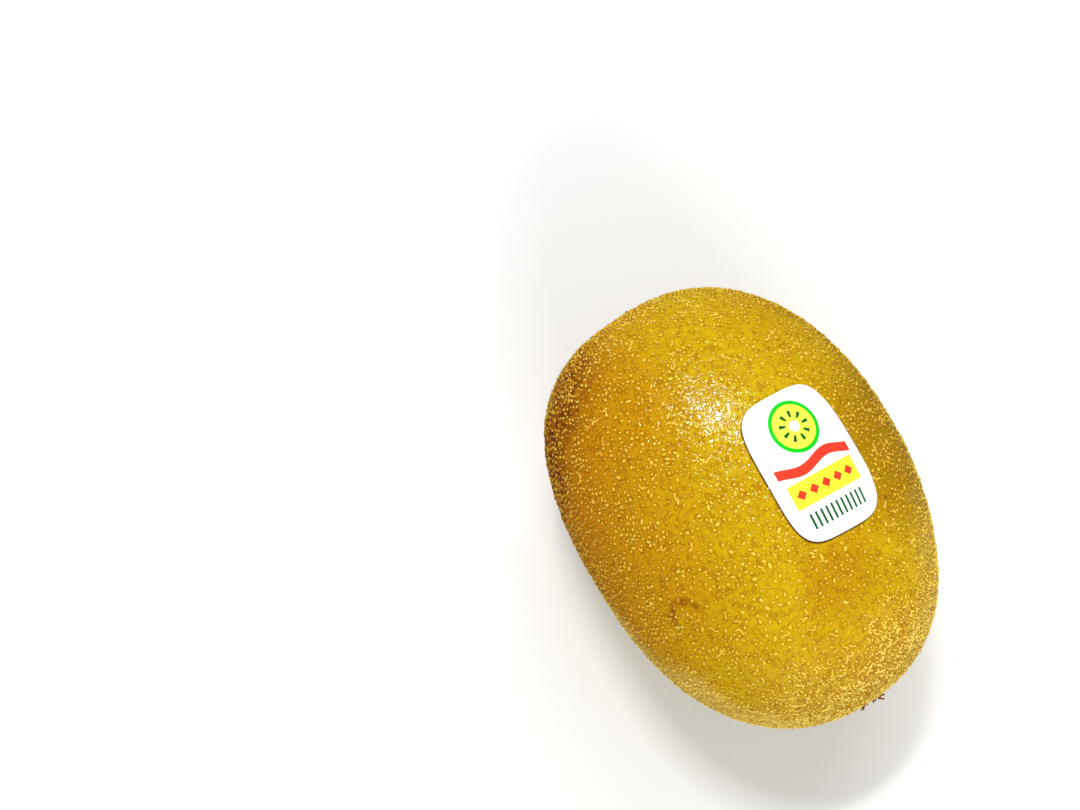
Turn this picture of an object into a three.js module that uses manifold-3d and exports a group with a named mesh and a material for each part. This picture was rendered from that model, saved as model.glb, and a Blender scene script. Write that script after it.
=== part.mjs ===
// A whole golden kiwi fruit lying on its side: the berry with its raised lenticels, the dried calyx
// at the stalk end, the dried styles at the blossom end, and the small paper label on its skin.
// Millimetres, +Z up, +X along the fruit towards the blossom end. It rests on Z = 0.

import * as THREE from "three";
import { ConvexHull } from "three/addons/math/ConvexHull.js";
import { mergeVertices } from "three/addons/utils/BufferGeometryUtils.js";
import Module from "manifold-3d";

// The berry, measured from the centre of its widest ring
const stalkHalf = 38.0;
const blossomHalf = 34.4;
const halfWidth = 27.0;
const halfHeight = 25.85;
const stalkPower = 2.42; // superellipse powers: 2 is an ellipse, more is blunter
const blossomPower = 2.25;
const restHeight = 24.55; // of the centre, over the spot where the underside is pressed flat
const foot = { x: 1.2, y: 0.4, halfLength: 7.4, halfWidth: 4, corners: 24 }; // just inside that flat

// The shallow basins at the two ends
const stalkBasin = { depth: 1.7, radius: 8 };
const blossomBasin = { depth: 0.8, radius: 5.5 };

// Lenticels: the raised corky dots all over the skin
const lenticelCount = 560;
const lenticelSides = 5;
const lenticelRadius = 0.75;
const lenticelHeight = 0.28;

// The label, wrapped on the upper side of the fruit
const label = {
  height: 21.8,
  width: 15.6,
  power: 4.2,
  station: -1.3, // of its centre, along X from the widest ring
  azimuth: THREE.MathUtils.degToRad(71.4), // round X, from +Y towards +Z
  turn: THREE.MathUtils.degToRad(4.4), // of its long side, from the fruit's long axis
  under: 0.1, // from the skin to its back
  over: 0.45, // from the skin to its face
  rings: 7,
  sectors: 40,
};

// The dried styles: a pad with thin stiff bristles
const styles = {
  count: 30,
  padRadius: 2.6,
  spread: 2.1,
  rootRadius: 0.32,
  tipRadius: 0.15,
  shortest: 1.0,
  longest: 1.9,
};

// The dried calyx: five sepals round the broken end of the stalk
const calyx = {
  sepals: 5,
  innerRadius: 3.1,
  outerRadius: 5.6,
  stubRadius: 1.6,
  rimRadius: 2.5,
  stubHeight: 1.5,
};
const padUnder = 0.12;
const padOver = 0.75;

const skinColour = 0xd1a021;
const driedColour = 0x4a2413;
const calyxColour = 0x6b4426;
const paperColour = 0xf7f6ef;

const goldenAngle = Math.PI * (3 - Math.sqrt(5));

// Repeatable random numbers from 0 to 1
function seeded(seed) {
  let state = seed;
  return () => {
    state = (state * 1664525 + 1013904223) % 4294967296;
    return state / 4294967296;
  };
}

// 1 at the middle of a basin, falling smoothly to 0 at its edge
function bell(distance, radius) {
  const t = Math.min(distance / radius, 1);
  return (1 - t * t) ** 2;
}

// Gentle swellings that keep the berry from being a perfect solid of revolution
function swelling(d) {
  const broad = 0.93 * Math.sin(2.2 * d.y + 1.3 * d.z - 0.49) * Math.cos(1.9 * d.x + 0.84);
  const fine = 0.42 * Math.sin(4.1 * d.y - 1.6 * d.x + 2.2) * Math.cos(2.6 * d.z + 2.71);
  return broad - fine;
}

// Distance from the berry's centre to its skin along the unit vector d
function skinDistance(d) {
  const [half, power] = d.x < 0 ? [stalkHalf, stalkPower] : [blossomHalf, blossomPower];
  const across = Math.hypot(d.y / halfWidth, d.z / halfHeight);
  const plain = (Math.abs(d.x / half) ** power + across ** power) ** (-1 / power);
  const fromAxis = plain * Math.hypot(d.y, d.z);
  const basin = d.x < 0 ? stalkBasin : blossomBasin;
  const swollen = plain + swelling(d) - basin.depth * bell(fromAxis, basin.radius);
  return swollen * d.z < -restHeight ? -restHeight / d.z : swollen;
}

// A point on the skin along d, lifted off it by a distance
function onSkin(d, lift = 0) {
  return d.clone().multiplyScalar(skinDistance(d) + lift);
}

// Half width of the plain berry at a station along X, as a share of its widest
function profile(x) {
  const [half, power] = x < 0 ? [stalkHalf, stalkPower] : [blossomHalf, blossomPower];
  return (1 - Math.min(Math.abs(x) / half, 1) ** power) ** (1 / power);
}

// Unit vector towards the skin at a station along X and an azimuth round it
function towards(x, azimuth) {
  const share = profile(x);
  const y = halfWidth * share * Math.cos(azimuth);
  const z = halfHeight * share * Math.sin(azimuth);
  return new THREE.Vector3(x, y, z).normalize();
}

// Unit vector towards the skin near one end, at y and z from the long axis
function towardsEnd(side, y, z) {
  const [half, power] = side < 0 ? [stalkHalf, stalkPower] : [blossomHalf, blossomPower];
  const share = Math.hypot(y / halfWidth, z / halfHeight);
  return new THREE.Vector3(side * half * (1 - share ** power) ** (1 / power), y, z).normalize();
}

// Stations along X that part the skin into bands of equal area, one point in each
function evenStations(count) {
  const steps = 2000;
  const cosines = Array.from({ length: steps + 1 }, (_, i) => Math.cos((Math.PI * i) / steps));
  const rim = cosines.map((c) => {
    const x = c < 0 ? -c * -stalkHalf : c * blossomHalf;
    return new THREE.Vector2(x, halfWidth * profile(x));
  });
  const area = [0];
  for (let i = 1; i <= steps; i++) {
    area.push(area[i - 1] + (rim[i].y + rim[i - 1].y) * rim[i].distanceTo(rim[i - 1]));
  }
  const stations = [];
  for (let i = 0, at = 1; i < count; i++) {
    const wanted = ((i + 0.5) / count) * area[steps];
    while (area[at] < wanted) at++;
    const share = (wanted - area[at - 1]) / (area[at] - area[at - 1]);
    stations.push(rim[at - 1].x + share * (rim[at].x - rim[at - 1].x));
  }
  return stations;
}

// Place on the label's paper, in mm from its centre, to a unit vector towards the skin under it
function underLabel(right, up) {
  const along = -up * Math.cos(label.turn) + right * Math.sin(label.turn);
  const around = -up * Math.sin(label.turn) - right * Math.cos(label.turn);
  const x = label.station + along;
  return towards(x, label.azimuth + around / (halfWidth * profile(label.station)));
}

// How far from the long axis the bare skin round a dried piece reaches
function endReach(side) {
  return (side < 0 ? calyx.outerRadius : styles.padRadius) + 1;
}

// The berry: a pimple of a few triangles at each lenticel, joined by the skin between them. Under
// the label the skin keeps its triangles but lies smooth, and the basins and foot have plain rings.
function berryGeometry() {
  const random = seeded(7);
  const labelCentre = onSkin(underLabel(0, 0));
  const lifted = new Map();
  for (const side of [-1, 1]) {
    const rings = Math.ceil(endReach(side) / 1.4);
    for (let j = 0; j <= rings; j++) {
      const radius = (j / rings) * endReach(side);
      for (let k = 0; k < Math.max(6 * j, 1); k++) {
        const angle = (k / Math.max(6 * j, 1)) * 2 * Math.PI + 0.3 * j;
        lifted.set(towardsEnd(side, radius * Math.cos(angle), radius * Math.sin(angle)), 0);
      }
    }
  }
  for (let k = 0; k <= foot.corners; k++) {
    const angle = (2 * Math.PI * k) / foot.corners;
    const share = k < foot.corners ? 1 : 0;
    const x = foot.x + share * foot.halfLength * Math.cos(angle);
    const y = foot.y + share * foot.halfWidth * Math.sin(angle);
    lifted.set(new THREE.Vector3(x, y, -restHeight).normalize(), 0);
  }
  evenStations(lenticelCount).forEach((station, i) => {
    const azimuth = i * goldenAngle + 0.25 * (random() - 0.5) + 0.01;
    const height = lenticelHeight * (0.6 + 0.5 * random());
    const middle = towards(station, azimuth);
    const top = onSkin(middle);
    if (Math.hypot(top.y, top.z) < endReach(top.x) + 1.5 * lenticelRadius) return;
    const footX = (top.x - foot.x) / (foot.halfLength + 1);
    const footY = (top.y - foot.y) / (foot.halfWidth + 1);
    if (top.z < 0 && Math.hypot(footX, footY) < 1) return;
    const isCovered = top.distanceTo(labelCentre) < label.height / 2 + 1;
    lifted.set(middle, isCovered ? 0 : height);
    const side = new THREE.Vector3(0, -middle.z, middle.y).normalize();
    const forward = new THREE.Vector3().crossVectors(side, middle);
    const spin = random() * Math.PI;
    for (let k = 0; k < lenticelSides; k++) {
      const angle = spin + (2 * Math.PI * k) / lenticelSides;
      const corner = top.clone();
      corner.addScaledVector(side, lenticelRadius * Math.cos(angle));
      corner.addScaledVector(forward, lenticelRadius * Math.sin(angle));
      lifted.set(corner.normalize(), 0);
    }
  });
  const hull = new ConvexHull().setFromPoints([...lifted.keys()]);
  const corners = [];
  for (const face of hull.faces) {
    for (let edge = face.edge, k = 0; k < 3; k++, edge = edge.next) {
      const d = edge.head().point;
      corners.push(onSkin(d, d.z < -0.9 ? 0 : lifted.get(d)));
    }
  }
  return mergeVertices(new THREE.BufferGeometry().setFromPoints(corners));
}

// A closed plate that follows the skin. towardsRing(share, angle) gives the unit vector at a share
// of the way from its centre to its outline.
function plateOnSkin(towardsRing, rings, sectors, under, over) {
  const points = [];
  const index = [];
  for (const lift of [under, over]) {
    points.push(onSkin(towardsRing(0, 0), lift));
    for (let j = 1; j <= rings; j++) {
      for (let k = 0; k < sectors; k++) {
        points.push(onSkin(towardsRing(j / rings, (2 * Math.PI * k) / sectors), lift));
      }
    }
  }
  const layer = 1 + rings * sectors;
  const at = (side, j, k) => side * layer + (j === 0 ? 0 : 1 + (j - 1) * sectors + (k % sectors));
  for (let k = 0; k < sectors; k++) {
    for (let j = 0; j < rings; j++) {
      for (const side of [0, 1]) {
        const quad = [at(side, j, k), at(side, j + 1, k), at(side, j + 1, k + 1), at(side, j, k + 1)];
        if (side === 0) quad.reverse();
        index.push(quad[0], quad[1], quad[2]);
        if (j > 0) index.push(quad[0], quad[2], quad[3]);
      }
    }
    index.push(at(0, rings, k), at(0, rings, k + 1), at(1, rings, k));
    index.push(at(0, rings, k + 1), at(1, rings, k + 1), at(1, rings, k));
  }
  return new THREE.BufferGeometry().setFromPoints(points).setIndex(index);
}

// Exact solids for joining
const wasm = await Module();
wasm.setup();

function solidOf(geometry) {
  const bare = geometry.clone();
  bare.deleteAttribute("normal");
  bare.deleteAttribute("uv");
  const merged = mergeVertices(bare, 1e-4);
  return new wasm.Manifold(
    new wasm.Mesh({
      numProp: 3,
      vertProperties: merged.attributes.position.array,
      triVerts: new Uint32Array(merged.index.array),
    }),
  );
}

function geometryOf(solid) {
  const mesh = solid.getMesh();
  return new THREE.BufferGeometry()
    .setAttribute("position", new THREE.BufferAttribute(mesh.vertProperties, 3))
    .setIndex(new THREE.BufferAttribute(mesh.triVerts, 1));
}

// Turns a solid of revolution, built up +Y, so that it stands out of the skin along X at one end
function standingOut(geometry, side, lift) {
  const end = onSkin(new THREE.Vector3(side, 0, 0), lift);
  return geometry.rotateZ((-side * Math.PI) / 2).translate(end.x, end.y, end.z);
}

function stylesGeometry() {
  const random = seeded(11);
  const ring = (share, angle) => {
    const radius = share * styles.padRadius;
    return towardsEnd(1, radius * Math.cos(angle), radius * Math.sin(angle));
  };
  let joined = solidOf(plateOnSkin(ring, 3, 16, padUnder, padOver));
  const up = new THREE.Vector3(0, 1, 0);
  for (let i = 0; i < styles.count; i++) {
    const share = Math.sqrt((i + 0.5) / styles.count);
    const angle = i * goldenAngle;
    const y = styles.spread * share * Math.cos(angle);
    const z = styles.spread * share * Math.sin(angle);
    const root = onSkin(towardsEnd(1, y, z), (padUnder + padOver) / 2);
    const lean = 0.15 + 0.75 * share + 0.3 * random();
    const swing = angle + 0.9 * (random() - 0.5);
    const outward = Math.sin(lean);
    const way = new THREE.Vector3(Math.cos(lean), outward * Math.cos(swing), outward * Math.sin(swing));
    const length = styles.shortest + (styles.longest - styles.shortest) * random();
    const bristle = new THREE.CylinderGeometry(styles.tipRadius, styles.rootRadius, length, 4, 1);
    bristle.translate(0, length / 2, 0);
    bristle.applyQuaternion(new THREE.Quaternion().setFromUnitVectors(up, way));
    bristle.translate(root.x, root.y, root.z);
    joined = joined.add(solidOf(bristle));
  }
  return geometryOf(joined);
}

function calyxGeometry() {
  const random = seeded(5);
  const reach = Array.from({ length: calyx.sepals }, () => 0.72 + 0.28 * random());
  // Five pointed lobes, each worn back by its own amount
  const outline = (angle) => {
    const turn = (angle / (2 * Math.PI)) * calyx.sepals;
    const lobe = Math.abs(Math.cos(turn * Math.PI)) ** 0.8;
    const length = reach[Math.round(turn) % calyx.sepals];
    return calyx.innerRadius + (calyx.outerRadius * length - calyx.innerRadius) * lobe;
  };
  const ring = (share, angle) => {
    const radius = share * outline(angle);
    return towardsEnd(-1, radius * Math.cos(angle), -radius * Math.sin(angle));
  };
  const sepals = plateOnSkin(ring, 4, 50, padUnder, padOver);
  // The corky rim where the stalk broke off, with the pith standing up inside it
  const top = calyx.stubHeight;
  const section = [
    [0, 0],
    [calyx.rimRadius, 0],
    [calyx.rimRadius, 0.55 * top],
    [0.9 * calyx.rimRadius, 0.75 * top],
    [0.75 * calyx.rimRadius, 0.7 * top],
    [calyx.stubRadius, 0.45 * top],
    [0.6 * calyx.stubRadius, 0.5 * top],
    [0.4 * calyx.stubRadius, top],
    [0, 0.9 * top],
  ].map(([x, y]) => new THREE.Vector2(x, y));
  const stub = standingOut(new THREE.LatheGeometry(section, 20), -1, (padUnder + padOver) / 2);
  return geometryOf(solidOf(sepals).add(solidOf(stub)));
}

function labelGeometry() {
  const ring = (share, angle) => {
    const c = Math.cos(angle);
    const s = Math.sin(angle);
    const fit = (Math.abs(c) ** label.power + Math.abs(s) ** label.power) ** (-1 / label.power);
    return underLabel((share * fit * c * label.width) / 2, (share * fit * s * label.height) / 2);
  };
  return plateOnSkin(ring, label.rings, label.sectors, label.under, label.over);
}

function piece(name, geometry, colour, roughness) {
  const material = new THREE.MeshStandardMaterial({ color: colour, roughness, metalness: 0 });
  const mesh = new THREE.Mesh(geometry, material);
  mesh.name = name;
  return mesh;
}

const fruit = new THREE.Group();
fruit.add(piece("berry", berryGeometry(), skinColour, 0.45));
fruit.add(piece("dried_styles", stylesGeometry(), driedColour, 0.8));
fruit.add(piece("dried_calyx", calyxGeometry(), calyxColour, 0.85));
fruit.add(piece("label", labelGeometry(), paperColour, 0.4));

// The origin is at the middle of the underside
const box = new THREE.Box3().setFromObject(fruit);
const middle = box.getCenter(new THREE.Vector3());
fruit.position.set(-middle.x, -middle.y, -box.min.z);

const part = new THREE.Group();
part.add(fruit);

export default part;
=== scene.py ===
import bpy
import math
import random
import numpy as np
from mathutils import Matrix, Vector, noise
from mathutils.kdtree import KDTree


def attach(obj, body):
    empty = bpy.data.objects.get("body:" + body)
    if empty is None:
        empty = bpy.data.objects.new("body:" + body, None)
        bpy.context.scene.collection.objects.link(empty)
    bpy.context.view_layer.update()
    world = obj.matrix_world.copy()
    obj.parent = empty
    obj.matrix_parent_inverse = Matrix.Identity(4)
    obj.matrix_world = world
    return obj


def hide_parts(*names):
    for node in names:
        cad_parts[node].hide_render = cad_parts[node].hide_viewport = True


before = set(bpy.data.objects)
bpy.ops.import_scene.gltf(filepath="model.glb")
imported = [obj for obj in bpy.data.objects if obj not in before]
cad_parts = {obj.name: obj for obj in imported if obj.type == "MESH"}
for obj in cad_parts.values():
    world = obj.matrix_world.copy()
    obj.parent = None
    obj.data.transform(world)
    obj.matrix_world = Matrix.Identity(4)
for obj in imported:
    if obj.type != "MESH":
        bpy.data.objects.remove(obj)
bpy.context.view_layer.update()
scene = bpy.context.scene
mm = 0.001  # everything is worked out in millimetres and written in metres
goldenAngle = math.pi * (3 - math.sqrt(5))


# Camera. The fruit lies flat and is looked down on, off the middle of the picture.
cameraSetup = {
    "place": (-4.61, -36.61, 241.78),  # from the berry's centre, mm
    "azimuth": 56.6,  # degrees
    "elevation": 82.0,
    "lens": 50.0,
}

# The berry's form, the same numbers as its solid
berry = {
    "centre": (0.715, -0.647, 24.55),  # in the part's frame, mm
    "halfWidth": 27.0,
    "halfHeight": 25.85,
    "stalk": {"half": 38.0, "power": 2.42, "basinDepth": 1.7, "basinRadius": 8.0},
    "blossom": {"half": 34.4, "power": 2.25, "basinDepth": 0.8, "basinRadius": 5.5},
    "broadSwell": 0.93,  # its uneven growth, mm
    "fineSwell": 0.42,
    "restHeight": 24.55,  # of the centre over the flat spot
}
berryCentre = np.array(berry["centre"])


def makeCamera():
    a, e = math.radians(cameraSetup["azimuth"]), math.radians(cameraSetup["elevation"])
    back = Vector((math.sin(a) * math.cos(e), -math.cos(a) * math.cos(e), math.sin(e)))
    right = Vector((math.cos(a), math.sin(a), 0))
    up = back.cross(right)
    data = bpy.data.cameras.new("camera")
    data.lens = cameraSetup["lens"]
    data.sensor_width = 36
    data.clip_start, data.clip_end = 0.01, 20
    camera = bpy.data.objects.new("camera", data)
    turn = Matrix((right, up, back)).transposed()
    place = (Vector(cameraSetup["place"]) + Vector(berry["centre"])) * mm
    camera.matrix_world = Matrix.Translation(place) @ turn.to_4x4()
    scene.collection.objects.link(camera)
    scene.camera = camera


makeCamera()
print("camera placed")


def endOf(x):
    # the numbers of the half of the berry that each x lies in
    return {k: np.where(x < 0, berry["stalk"][k], berry["blossom"][k]) for k in berry["stalk"]}


def skinDistance(d):
    # from the berry's centre to its smooth skin, along unit vectors
    x, y, z = d[:, 0], d[:, 1], d[:, 2]
    end = endOf(x)
    across = np.hypot(y / berry["halfWidth"], z / berry["halfHeight"])
    plain = (np.abs(x / end["half"]) ** end["power"] + across ** end["power"]) ** (-1 / end["power"])
    share = np.minimum(plain * np.hypot(y, z) / end["basinRadius"], 1)
    # two low waves over the directions, turned to suit the fruit's outline
    broad = berry["broadSwell"] * np.sin(2.2 * y + 1.3 * z - 0.49) * np.cos(1.9 * x + 0.84)
    fine = berry["fineSwell"] * np.sin(4.1 * y - 1.6 * x + 2.2) * np.cos(2.6 * z + 2.71)
    swollen = plain + broad - fine - end["basinDepth"] * (1 - share**2) ** 2
    floor = -berry["restHeight"]
    return np.where(swollen * z < floor, floor / np.minimum(z, -1e-6), swollen)


def unit(v):
    return v / np.linalg.norm(v, axis=-1, keepdims=True)


def onSkin(d, lift=0.0):
    # points in the part's frame, in mm, lifted off the smooth skin
    return berryCentre + d * (skinDistance(d) + lift)[:, None]


def towards(x, azimuth):
    # unit vectors at stations along X and azimuths round it, from +Y towards +Z
    end = endOf(x)
    share = (1 - np.minimum(np.abs(x) / end["half"], 1) ** end["power"]) ** (1 / end["power"])
    y = berry["halfWidth"] * share * np.cos(azimuth)
    z = berry["halfHeight"] * share * np.sin(azimuth)
    return unit(np.stack([x, y, z], -1))


def towardsEnd(side, y, z):
    # unit vectors near one end, at y and z from the long axis
    end = berry["stalk"] if side < 0 else berry["blossom"]
    share = np.hypot(y / berry["halfWidth"], z / berry["halfHeight"])
    x = side * end["half"] * (1 - share ** end["power"]) ** (1 / end["power"])
    return unit(np.stack([x, y, z], -1))


def newPiece(name, points, faces, slot, replaced=(), smooth=True):
    mesh = bpy.data.meshes.new(name)
    mesh.from_pydata((np.asarray(points) * mm).tolist(), [], [list(map(int, f)) for f in faces])
    mesh.validate()
    mesh.polygons.foreach_set("use_smooth", [smooth] * len(mesh.polygons))
    piece = bpy.data.objects.new(name, mesh)
    scene.collection.objects.link(piece)
    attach(piece, "root")
    if replaced:
        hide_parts(*replaced)
    return piece


def addValues(piece, name, values):
    layer = piece.data.attributes.new(name, "FLOAT", "POINT")
    layer.data.foreach_set("value", np.asarray(values, np.float32))


def noiseAt(points, size, kind="plain", seed=0.0):
    # repeatable noise with features about this many mm across, from -1 to 1 or, ridged, 0 to 1
    shift = Vector((seed, seed * 1.7, -seed))
    spots = [Vector(p) / size + shift for p in points]
    if kind == "ridged":
        return np.array([noise.ridged_multi_fractal(p, 1.0, 2.1, 3, 1.0, 2.0) for p in spots]) / 2
    return np.array([noise.noise(p) for p in spots])


def smoothStep(low, high, x):
    t = np.clip((x - low) / (high - low), 0, 1)
    return t * t * (3 - 2 * t)


# The skin

skinSetup = {
    "cells": 128,  # along each edge of the cube that the grid is wrapped from
    "stretch": 1.2,  # keeps the cells about the same size at the ends and the waist
    "netHeight": 0.22,  # of the wrinkled net at the blossom end, mm
    "netSize": 0.95,
    "netLevel": 0.45,  # the part of its height that lies level with the skin
    "netReach": (18, 34),  # where it starts and where it is full, along X, mm
    "netEdge": 3.0,  # how far its start wanders
    "unevenness": 0.06,
    "mound": 0.05,  # the skin's own rise under a lenticel
    "moundRadius": 0.42,
    "smoothEnd": (1.5, 3.5),  # from the long axis, where the dried pieces sit
    "labelEdgeShadeSpread": 0.045,  # how far the painted shade round the label reaches past its edge, as a share of the label
}

lenticelSetup = {
    "spacing": (0.56, 0.98),  # crowded and sparse, mm
    "uneven": (0.85, 1.2),  # each one's own share of that
    "wrinkled": 0.58,  # the spacing at the blossom end, as a share of that
    "blossomReach": (20, 32),  # where the ends' closer spacing starts and is full, along X, mm
    "stalkReach": (-24, -34),
    "radius": (0.13, 0.34),
    "height": (0.15, 0.31),
    "longest": 2.2,  # as a share of the width
    "ridged": 1.5,  # how much longer still they grow at the blossom end
    "fine": 0.7,  # and how much narrower
    "squiggles": (0.022, 0.13),  # the share that starts a squiggle, at the waist and the blossom end
    "beads": (3, 6),  # small ones in a squiggle, fewer than the second number
    "beadStep": 0.34,  # from one to the next, mm
    "beadTurn": 0.7,
    "beadRadius": (0.18, 0.25),
    "root": 0.09,  # how deep the edges are sunk
    "foot": 1.2,  # the sunk edge's share of the radius
    "shoulder": (0.74, 0.66),  # the shoulder's share of the radius and of the height
    "lowest": 0.35,  # none is lower than this over the floor, mm
    "split": 0.35,  # the unit vectors' X from which they belong to the second piece
    "sides": 6,
    "tries": 62000,
    "seed": 3,
}


def inLayout(cell, share):
    # a place in a cell of the flat layout, three cells by two, kept off the cell's edges
    margin = 0.015
    return (cell + margin + (1 - 2 * margin) * share) / np.array([3, 2])


def wrappedGrid(cells, stretch):
    # a cube's grid wrapped on a ball: unit vectors, quads, and each quad's place in the flat layout
    steps = np.tan(np.linspace(-1, 1, cells + 1) * math.pi / 4)
    s, t = np.meshgrid(steps, steps, indexing="ij")
    i, j = np.meshgrid(np.arange(cells), np.arange(cells), indexing="ij")
    corner = np.stack([np.stack([i + a, j + b], -1) for a, b in ((0, 0), (1, 0), (1, 1), (0, 1))], 2)
    corner = corner.reshape(-1, 4, 2)
    axes = np.eye(3)
    points, quads, places = [], [], []
    for face in range(6):
        k, side = face % 3, 1 if face < 3 else -1
        w, u = axes[k] * side, axes[(k + 1) % 3]
        v = np.cross(w, u)
        points.append((w + s[..., None] * u + t[..., None] * v).reshape(-1, 3))
        quads.append(corner[..., 0] * (cells + 1) + corner[..., 1] + face * (cells + 1) ** 2)
        places.append(inLayout(np.array([face % 3, face // 3]), corner / cells))
    points = unit(np.concatenate(points)) * np.array([stretch, 1, 1])
    points, where = np.unique(np.round(points, 7), axis=0, return_inverse=True)
    return unit(points), where.reshape(-1)[np.concatenate(quads)], np.concatenate(places)


def layFlat(piece, places):
    # the flat layout for baking, a place for each corner of each face
    layer = piece.data.uv_layers.new(name="OFBake")
    layer.data.foreach_set("uv", places.reshape(-1).astype(np.float32))


def spacingAt(points):
    # the distance between lenticels: patchy, and closer at both ends
    crowded, sparse = lenticelSetup["spacing"]
    loose = smoothStep(-0.4, 0.4, noiseAt(points, 5.0, seed=1.0))
    blossom = smoothStep(*lenticelSetup["blossomReach"], points[:, 0])
    stalk = smoothStep(*lenticelSetup["stalkReach"], points[:, 0])
    ends = np.maximum(blossom, 0.8 * stalk)
    return (crowded + (sparse - crowded) * loose) * (1 + (lenticelSetup["wrinkled"] - 1) * ends)


def scatter(rnd, tries):
    # unit vectors to points on the skin, none nearer another than the spacing there
    d = unit(rnd.normal(size=(tries, 3)) * np.array([1.25, 1, 1]))  # more of them towards the ends
    points = onSkin(d)
    gaps = spacingAt(points) * rnd.uniform(*lenticelSetup["uneven"], tries)
    size = gaps.max()
    squares = (gaps**2).tolist()
    places = points.tolist()
    cells, kept = {}, []
    around = [(a, b, e) for a in (-1, 0, 1) for b in (-1, 0, 1) for e in (-1, 0, 1)]
    for i, (x, y, z) in enumerate(places):
        c = (int(x // size), int(y // size), int(z // size))
        free = True
        for a, b, e in around:
            for j in cells.get((c[0] + a, c[1] + b, c[2] + e), ()):
                u, v, w = places[j]
                if (x - u) ** 2 + (y - v) ** 2 + (z - w) ** 2 < min(squares[i], squares[j]):
                    free = False
                    break
            if not free:
                break
        if free:
            cells.setdefault(c, []).append(i)
            kept.append(i)
    return d[kept]


def skinRelief(points):
    # how far the skin swells over its smooth form, how wrinkled it is, and the wrinkles' own pattern
    wander = skinSetup["netEdge"]
    edge = wander * noiseAt(points, 6.0, seed=2.0) + wander * noiseAt(points, 2.0, seed=4.0)
    blossom = smoothStep(*skinSetup["netReach"], points[:, 0] + edge)
    net = noiseAt(points, skinSetup["netSize"], "ridged", seed=5.0)
    relief = skinSetup["unevenness"] * noiseAt(points, 3.2, seed=9.0)
    relief += skinSetup["netHeight"] * blossom * (net - skinSetup["netLevel"]) * (1 - labelCover(points))
    fromAxis = np.hypot(points[:, 1] - berryCentre[1], points[:, 2] - berryCentre[2])
    return relief * smoothStep(*skinSetup["smoothEnd"], fromAxis), blossom, net


def tangents(d):
    # straight out of the long berry, along it and round it
    outward = unit(d * np.array([0.55, 1, 1]))
    along = unit(np.cross(np.cross(outward, [1.0, 0.02, 0.01]), outward))
    return outward, along, np.cross(outward, along)


def squiggle(rnd, start, along, aside, heading, height, nearEnd):
    # the rows of the small lenticels that wind away from one of them
    place = onSkin(start[None])[0] - berryCentre
    share = 1 - 0.25 * nearEnd
    rows = []
    for _ in range(rnd.integers(*lenticelSetup["beads"])):
        ahead = along * math.cos(heading) + aside * math.sin(heading)
        place = place + ahead * lenticelSetup["beadStep"] * share
        heading += rnd.normal(0, lenticelSetup["beadTurn"])
        radius = rnd.uniform(*lenticelSetup["beadRadius"]) * share
        rows.append([*unit(place), heading, radius, 1.5 * radius, 0.75 * height])
    return np.array(rows)


def placeLenticels():
    # a row for each: its unit vector, the way its long side runs, its half width, half length and height
    rnd = np.random.default_rng(lenticelSetup["seed"])
    spots = scatter(rnd, lenticelSetup["tries"])
    _, along, aside = tangents(spots)
    count = len(spots)
    turn = rnd.normal(0, 0.9, count)
    narrow, wide = lenticelSetup["radius"]
    width = narrow + (wide - narrow) * rnd.uniform(0, 1, count) ** 1.7  # the power keeps most of them small
    length = width * (1 + (lenticelSetup["longest"] - 1) * rnd.uniform(0, 1, count) ** 2.5)
    nearEnd = smoothStep(0.55, 0.8, spots[:, 0])
    finer = 1 + (lenticelSetup["fine"] - 1) * nearEnd
    width *= finer
    length *= finer * (1 + (lenticelSetup["ridged"] - 1) * nearEnd * rnd.uniform(0, 1, count))
    height = rnd.uniform(*lenticelSetup["height"], count) * (0.6 + 0.4 * width / wide)
    rows = [np.column_stack([spots, turn, width, length, height])]
    few, many = lenticelSetup["squiggles"]
    for i in np.flatnonzero(rnd.random(count) < few + (many - few) * nearEnd):
        rows.append(squiggle(rnd, spots[i], along[i], aside[i], turn[i], height[i], nearEnd[i]))
    rows = np.concatenate(rows)
    points = onSkin(rows[:, :3])
    return rows[(labelCover(points) < 0.02) & (points[:, 2] > lenticelSetup["lowest"])]


def makeSkin(lenticels):
    d, quads, places = wrappedGrid(skinSetup["cells"], skinSetup["stretch"])
    points = onSkin(d)
    relief, blossom, net = skinRelief(points)
    tree = KDTree(len(lenticels))
    for i, p in enumerate(onSkin(lenticels[:, :3])):
        tree.insert(p, i)
    tree.balance()
    near = np.array([tree.find(p)[2] for p in points])
    foot = np.exp(-((near / skinSetup["moundRadius"]) ** 2))
    swollen = berryCentre + d * (skinDistance(d) + relief + skinSetup["mound"] * foot)[:, None]
    swollen[:, 2] = np.maximum(swollen[:, 2], 0)
    skin = newPiece("skin", swollen, quads, "skin", ["berry"])
    # besideLabel marks the painted shade round the label
    beside = labelCover(points, skinSetup["labelEdgeShadeSpread"])
    # foot also sets where painted shade lies round each lenticel
    for name, values in {"foot": foot, "blossomEnd": blossom, "net": net, "besideLabel": beside}.items():
        addValues(skin, name, values)
    layFlat(skin, places)
    return skin


def flatPlace(d, middle):
    # each unit vector's place in the flat layout, on the cube face that its lenticel's middle is on
    middle = middle / np.array([skinSetup["stretch"], 1, 1])
    d = d / np.array([skinSetup["stretch"], 1, 1])
    k = np.abs(middle).argmax(axis=1)
    row = np.arange(len(d))
    side = np.sign(middle[row, k])
    depth = np.abs(d[row, k])
    s = d[row, (k + 1) % 3] / depth
    t = d[row, (k + 2) % 3] / depth * side
    share = np.clip(np.arctan(np.stack([s, t], -1)) * 2 / math.pi + 0.5, 0, 1)
    return inLayout(np.stack([k, (side < 0).astype(int)], -1), share)


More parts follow.
